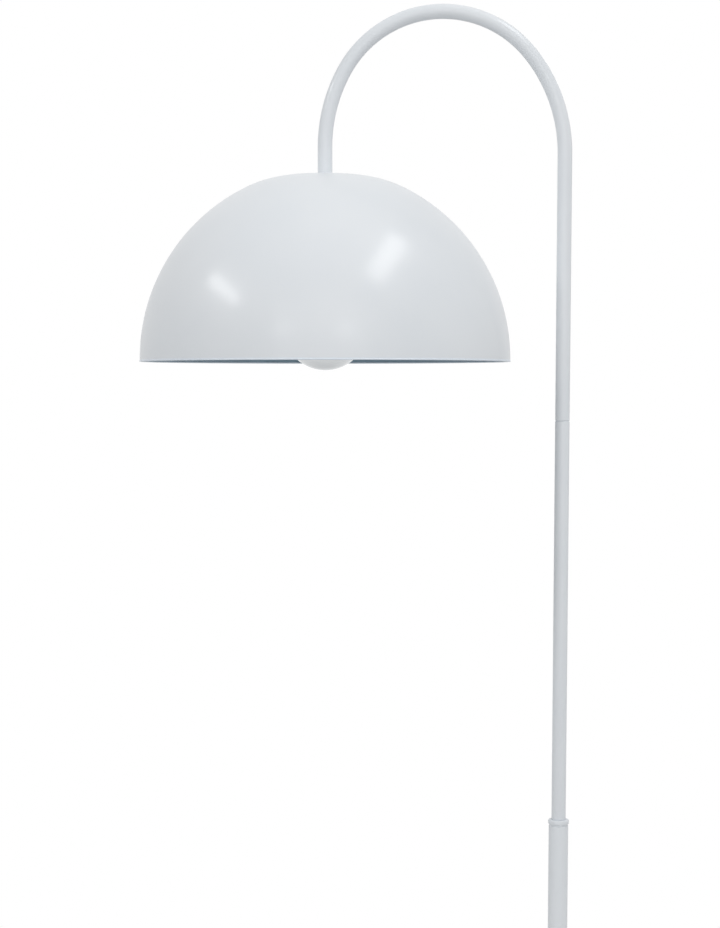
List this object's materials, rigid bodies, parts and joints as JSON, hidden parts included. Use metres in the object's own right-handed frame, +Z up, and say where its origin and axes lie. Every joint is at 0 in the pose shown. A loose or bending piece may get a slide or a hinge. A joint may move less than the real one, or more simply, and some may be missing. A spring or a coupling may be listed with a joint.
{
  "type": "floor lamp",
  "caption": "Floor lamp with a round weighted base, a stepped tube pole that arches over at the top, a half-dome metal shade, a switched screw lampholder and a globe bulb.",
  "frame": {"origin": "centre of the base's foam pad on the floor, on the axis of the pole", "axes": "+Z up along the pole; the arch and the shade reach towards -X; the picture looks along +Y"},
  "size_m": [0.5972, 0.407, 1.5195],
  "materials": {
    "white_paint": "satin",
    "white_moulding": "semi-gloss",
    "knob_plastic": "gloss",
    "pad_foam": "matte",
    "grommet_rubber": "matte",
    "cast_ballast": "rough",
    "zinc_steel": "zinc plated",
    "contact_brass": "satin",
    "nickel_cap": "satin",
    "block_ceramic": "matte",
    "lead_sheath": "matte",
    "opal_glass": "opal",
    "clear_glass": "clear",
    "filament_coat": "matte"
  },
  "bodies": {
    "lamp": {"base_pad": "pad_foam", "base_weight": "cast_ballast", "base_cover": "white_paint", "cord_grommet": "grommet_rubber", "lead_connector": "white_moulding", "connector_screw": "zinc_steel", "base_washer": "zinc_steel", "base_nut": "zinc_steel", "base_stud": "zinc_steel", "lower_plug": "zinc_steel", "lower_tube": "white_paint", "reducer_bush": "white_paint", "reducer_stud": "zinc_steel", "middle_foot_plug": "zinc_steel", "middle_tube": "white_paint", "middle_top_plug": "zinc_steel", "seam_stud": "zinc_steel", "arch_foot_plug": "zinc_steel", "arch_tube": "white_paint", "arch_end_plug": "zinc_steel", "shade_nipple": "zinc_steel", "shade": "white_paint", "shade_washer": "zinc_steel", "shade_nut": "zinc_steel", "holder_spacer": "white_paint", "holder_cap": "white_moulding", "holder_body": "white_moulding", "switch_block": "block_ceramic", "screw_shell": "contact_brass", "centre_contact": "contact_brass", "inner_lead": "lead_sheath"},
    "knob": {"switch_knob": "knob_plastic"},
    "bulb_tip": {"bulb_contact": "contact_brass"},
    "bulb": {"bulb_glass": "opal_glass", "bulb_cap": "nickel_cap", "bulb_insulator": "knob_plastic", "bulb_stem": "clear_glass", "bulb_wires": "nickel_cap", "bulb_filaments": "filament_coat"}
  },
  "joints": [
    {"name": "switch_turn", "type": "hinge", "parent": "lamp", "child": "knob", "pos_m": [-0.2615, 0, 1.27526], "axis": [1, 0, 0], "continuous": true},
    {"name": "bulb_travel", "type": "slide", "parent": "lamp", "child": "bulb_tip", "axis": [0, 0, -1], "range_m": [0, 0.0146]},
    {"name": "bulb_turn", "type": "hinge", "parent": "bulb_tip", "child": "bulb", "pos_m": [-0.2615, 0, 1.26296], "axis": [0, 0, -1], "range_deg": [0, 1440]}
  ],
  "couplings": [
    {"joint": "bulb_travel", "follows": "bulb_turn", "m_per_rad": 0.00057758}
  ]
}
